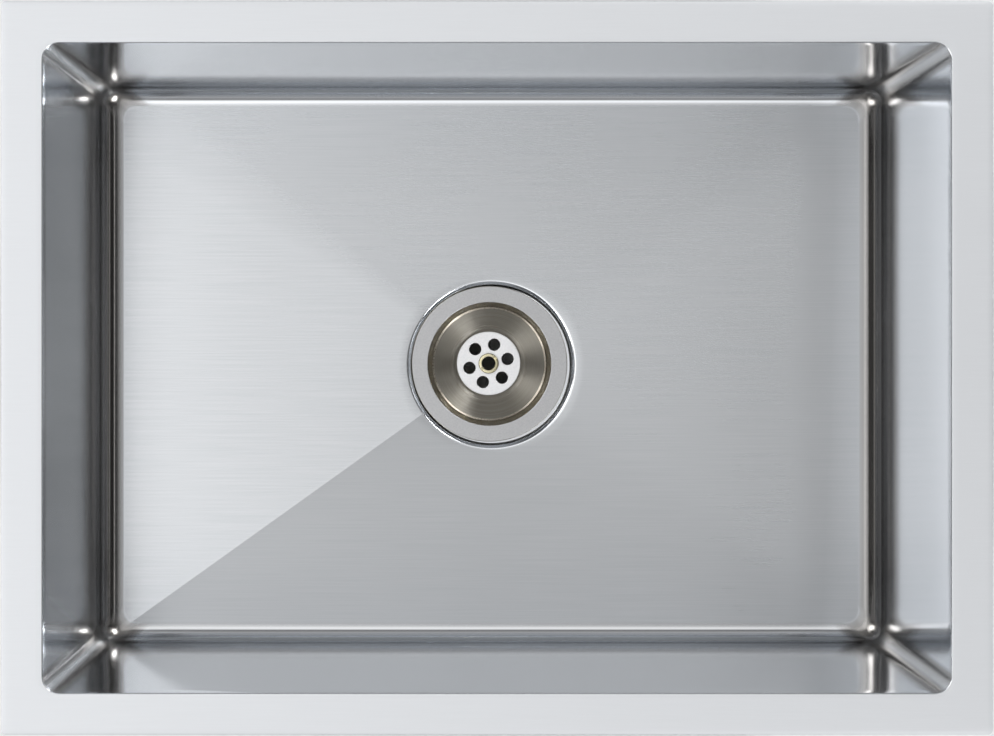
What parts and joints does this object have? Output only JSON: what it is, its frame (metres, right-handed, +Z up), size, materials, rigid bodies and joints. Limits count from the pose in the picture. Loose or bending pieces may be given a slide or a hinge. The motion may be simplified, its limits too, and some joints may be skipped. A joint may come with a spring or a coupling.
{
  "type": "undermount kitchen sink",
  "caption": "Rectangular undermount kitchen sink: steel bowl with a flat rim, creased floor, strainer waste with hollow brass screw, swing-out fixing clips and sound pads.",
  "frame": {"origin": "centre of the bowl's mouth, in the plane of the rim's top face that seats under the worktop", "axes": "+X along the long side, +Y to the back, +Z up out of the bowl"},
  "size_m": [0.595, 0.44, 0.2892],
  "materials": {
    "bowl_steel": "brushed",
    "cup_steel": "circular brushed",
    "plate_steel": "bright satin",
    "brass": "turned",
    "plated_steel": "zinc plated",
    "clip_steel": "pressed satin",
    "gasket_rubber": "matte",
    "pad_rubber": "matte",
    "body_plastic": "moulded",
    "washer_plastic": "moulded"
  },
  "bodies": {
    "sink": {"sink_bowl": "bowl_steel", "rim_studs": "plated_steel", "wall_pad_front": "pad_rubber", "wall_pad_back": "pad_rubber", "wall_pad_left": "pad_rubber", "wall_pad_right": "pad_rubber", "floor_pad_front": "pad_rubber", "floor_pad_back": "pad_rubber", "floor_pad_left": "pad_rubber", "floor_pad_right": "pad_rubber", "waste_cup": "cup_steel", "strainer_plate": "plate_steel", "flange_gasket": "gasket_rubber", "body_gasket": "gasket_rubber", "waste_body": "body_plastic", "threaded_insert": "brass"},
    "washer_back_left": {"clip_washer_back_left": "plated_steel"},
    "clip_back_left": {"fixing_clip_back_left": "clip_steel"},
    "nut_back_left": {"wing_nut_back_left": "plated_steel"},
    "washer_back_right": {"clip_washer_back_right": "plated_steel"},
    "clip_back_right": {"fixing_clip_back_right": "clip_steel"},
    "nut_back_right": {"wing_nut_back_right": "plated_steel"},
    "washer_right": {"clip_washer_right": "plated_steel"},
    "clip_right": {"fixing_clip_right": "clip_steel"},
    "nut_right": {"wing_nut_right": "plated_steel"},
    "washer_front_right": {"clip_washer_front_right": "plated_steel"},
    "clip_front_right": {"fixing_clip_front_right": "clip_steel"},
    "nut_front_right": {"wing_nut_front_right": "plated_steel"},
    "washer_front_left": {"clip_washer_front_left": "plated_steel"},
    "clip_front_left": {"fixing_clip_front_left": "clip_steel"},
    "nut_front_left": {"wing_nut_front_left": "plated_steel"},
    "washer_left": {"clip_washer_left": "plated_steel"},
    "clip_left": {"fixing_clip_left": "clip_steel"},
    "nut_left": {"wing_nut_left": "plated_steel"},
    "screw_washer": {"screw_washer": "washer_plastic"},
    "clamp_screw": {"clamp_screw": "brass"}
  },
  "joints": [
    {"name": "washer_travel_back_left", "type": "slide", "parent": "sink", "child": "washer_back_left", "axis": [0, 0, -1], "range_m": [0, 0.0049]},
    {"name": "clip_swing_back_left", "type": "hinge", "parent": "washer_back_left", "child": "clip_back_left", "pos_m": [-0.16, 0.2082, 0], "axis": [0, 0, 1], "range_deg": [0, 180]},
    {"name": "nut_turn_back_left", "type": "hinge", "parent": "washer_back_left", "child": "nut_back_left", "pos_m": [-0.16, 0.2082, 0], "axis": [0, 0, -1], "range_deg": [0, 2160]},
    {"name": "washer_travel_back_right", "type": "slide", "parent": "sink", "child": "washer_back_right", "axis": [0, 0, -1], "range_m": [0, 0.0049]},
    {"name": "clip_swing_back_right", "type": "hinge", "parent": "washer_back_right", "child": "clip_back_right", "pos_m": [0.16, 0.2082, 0], "axis": [0, 0, 1], "range_deg": [0, 180]},
    {"name": "nut_turn_back_right", "type": "hinge", "parent": "washer_back_right", "child": "nut_back_right", "pos_m": [0.16, 0.2082, 0], "axis": [0, 0, -1], "range_deg": [0, 2160]},
    {"name": "washer_travel_right", "type": "slide", "parent": "sink", "child": "washer_right", "axis": [0, 0, -1], "range_m": [0, 0.0049]},
    {"name": "clip_swing_right", "type": "hinge", "parent": "washer_right", "child": "clip_right", "pos_m": [0.2857, 0, 0], "axis": [0, 0, 1], "range_deg": [0, 180]},
    {"name": "nut_turn_right", "type": "hinge", "parent": "washer_right", "child": "nut_right", "pos_m": [0.2857, 0, 0], "axis": [0, 0, -1], "range_deg": [0, 2160]},
    {"name": "washer_travel_front_right", "type": "slide", "parent": "sink", "child": "washer_front_right", "axis": [0, 0, -1], "range_m": [0, 0.0049]},
    {"name": "clip_swing_front_right", "type": "hinge", "parent": "washer_front_right", "child": "clip_front_right", "pos_m": [0.16, -0.2082, 0], "axis": [0, 0, 1], "range_deg": [0, 180]},
    {"name": "nut_turn_front_right", "type": "hinge", "parent": "washer_front_right", "child": "nut_front_right", "pos_m": [0.16, -0.2082, 0], "axis": [0, 0, -1], "range_deg": [0, 2160]},
    {"name": "washer_travel_front_left", "type": "slide", "parent": "sink", "child": "washer_front_left", "axis": [0, 0, -1], "range_m": [0, 0.0049]},
    {"name": "clip_swing_front_left", "type": "hinge", "parent": "washer_front_left", "child": "clip_front_left", "pos_m": [-0.16, -0.2082, 0], "axis": [0, 0, 1], "range_deg": [0, 180]},
    {"name": "nut_turn_front_left", "type": "hinge", "parent": "washer_front_left", "child": "nut_front_left", "pos_m": [-0.16, -0.2082, 0], "axis": [0, 0, -1], "range_deg": [0, 2160]},
    {"name": "washer_travel_left", "type": "slide", "parent": "sink", "child": "washer_left", "axis": [0, 0, -1], "range_m": [0, 0.0049]},
    {"name": "clip_swing_left", "type": "hinge", "parent": "washer_left", "child": "clip_left", "pos_m": [-0.2857, 0, 0], "axis": [0, 0, 1], "range_deg": [0, 180]},
    {"name": "nut_turn_left", "type": "hinge", "parent": "washer_left", "child": "nut_left", "pos_m": [-0.2857, 0, 0], "axis": [0, 0, -1], "range_deg": [0, 2160]},
    {"name": "screw_travel", "type": "slide", "parent": "sink", "child": "screw_washer", "axis": [0, 0, 1], "range_m": [0, 0.0081]},
    {"name": "screw_turn", "type": "hinge", "parent": "screw_washer", "child": "clamp_screw", "pos_m": [-0.0012, 0.0006, 0], "axis": [0, 0, 1], "range_deg": [0, 2880]}
  ],
  "couplings": [
    {"joint": "washer_travel_back_left", "follows": "nut_turn_back_left", "m_per_rad": 0.00012732},
    {"joint": "washer_travel_back_right", "follows": "nut_turn_back_right", "m_per_rad": 0.00012732},
    {"joint": "washer_travel_right", "follows": "nut_turn_right", "m_per_rad": 0.00012732},
    {"joint": "washer_travel_front_right", "follows": "nut_turn_front_right", "m_per_rad": 0.00012732},
    {"joint": "washer_travel_front_left", "follows": "nut_turn_front_left", "m_per_rad": 0.00012732},
    {"joint": "washer_travel_left", "follows": "nut_turn_left", "m_per_rad": 0.00012732},
    {"joint": "screw_travel", "follows": "screw_turn", "m_per_rad": 0.00015915}
  ]
}
